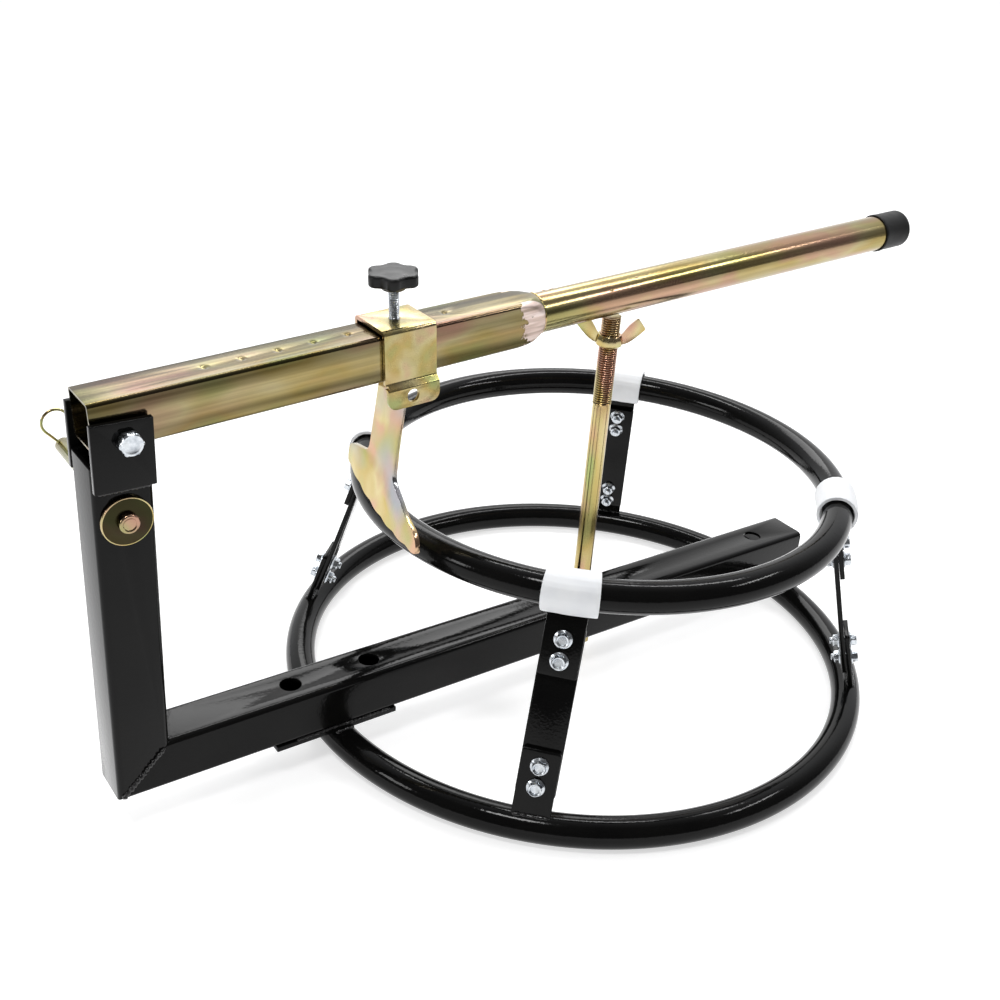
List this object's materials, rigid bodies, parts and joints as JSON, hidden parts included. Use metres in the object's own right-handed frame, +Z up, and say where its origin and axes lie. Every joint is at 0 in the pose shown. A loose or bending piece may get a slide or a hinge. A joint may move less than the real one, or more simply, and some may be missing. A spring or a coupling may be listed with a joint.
{
  "type": "tyre changing stand",
  "caption": "Portable tyre changing stand: two strapped tube rings hold a wheel, a square tube frame carries a hinged lever with a sliding bead breaker blade.",
  "frame": {"origin": "on the floor, at the middle of the bounding box footprint; the axis of both rings stands at x = +0.0442", "axes": "+X along the floor beam from the upright to the free end of the handle, +Z up, -Y towards the side with the washer head of the hitch pin"},
  "size_m": [0.776, 0.5234, 0.3974],
  "materials": {
    "black_paint": "gloss black powder coat",
    "yellow_zinc": "yellow passivated zinc plate with green and pink interference tints",
    "bright_zinc": "bright zinc plate",
    "white_plastic": "satin white moulding",
    "black_plastic": "gloss black moulding",
    "black_rubber": "matt black soft cap"
  },
  "bodies": {
    "stand": {"lower_ring": "black_paint", "upper_ring": "black_paint", "cross_arm": "black_paint", "upright": "black_paint", "weld_pad_left": "black_paint", "weld_pad_right": "black_paint", "pivot_cheek_near": "black_paint", "pivot_cheek_far": "black_paint", "pivot_bolt": "bright_zinc", "centre_post": "yellow_zinc", "strap_front": "black_paint", "rim_clip_front": "white_plastic", "strap_bolt_front_1": "bright_zinc", "strap_bolt_front_2": "bright_zinc", "strap_bolt_front_3": "bright_zinc", "strap_bolt_front_4": "bright_zinc", "strap_right": "black_paint", "rim_clip_right": "white_plastic", "strap_bolt_right_1": "bright_zinc", "strap_bolt_right_2": "bright_zinc", "strap_bolt_right_3": "bright_zinc", "strap_bolt_right_4": "bright_zinc", "strap_back": "black_paint", "rim_clip_back": "white_plastic", "strap_bolt_back_1": "bright_zinc", "strap_bolt_back_2": "bright_zinc", "strap_bolt_back_3": "bright_zinc", "strap_bolt_back_4": "bright_zinc", "strap_left": "black_paint", "rim_clip_left": "white_plastic", "strap_bolt_left_1": "bright_zinc", "strap_bolt_left_2": "bright_zinc", "strap_bolt_left_3": "bright_zinc", "strap_bolt_left_4": "bright_zinc"},
    "lever": {"lever_tube": "yellow_zinc", "handle_tube": "yellow_zinc", "handle_cap": "black_rubber"},
    "slider": {"slider": "yellow_zinc", "bead_blade": "yellow_zinc"},
    "stud": {"clamp_stud": "bright_zinc"},
    "knob": {"clamp_knob": "black_plastic"},
    "wing_nut": {"wing_nut": "yellow_zinc"},
    "washer": {"hitch_washer": "yellow_zinc"},
    "pin": {"hitch_pin": "yellow_zinc", "spring_clip": "yellow_zinc"}
  },
  "joints": [
    {"name": "lever_swing", "type": "hinge", "parent": "stand", "child": "lever", "pos_m": [-0.3643, 0, 0.3167], "axis": [0, 1, 0], "range_deg": [-30, 0]},
    {"name": "slider_slide", "type": "slide", "parent": "lever", "child": "slider", "axis": [0.9981, 0, 0.0617], "range_m": [-0.164, 0.011]},
    {"name": "stud_travel", "type": "slide", "parent": "slider", "child": "stud", "axis": [-0.0617, 0, 0.9981], "range_m": [0, 0.006]},
    {"name": "knob_turn", "type": "hinge", "parent": "stud", "child": "knob", "pos_m": [-0.15958, 0, 0.3567], "axis": [-0.0617, 0, 0.9981], "range_deg": [0, 1728]},
    {"name": "wing_nut_travel", "type": "slide", "parent": "stand", "child": "wing_nut", "axis": [0, 0, 1], "range_m": [-0.05, 0.006]},
    {"name": "hitch_washer_slide", "type": "slide", "parent": "stand", "child": "washer", "axis": [0, -1, 0], "range_m": [0, 0.073]},
    {"name": "hitch_pin_turn", "type": "hinge", "parent": "washer", "child": "pin", "pos_m": [-0.368, 0, 0.2594], "axis": [0, -1, 0], "continuous": true}
  ],
  "couplings": [
    {"joint": "stud_travel", "follows": "knob_turn", "m_per_rad": 0.00019894}
  ]
}
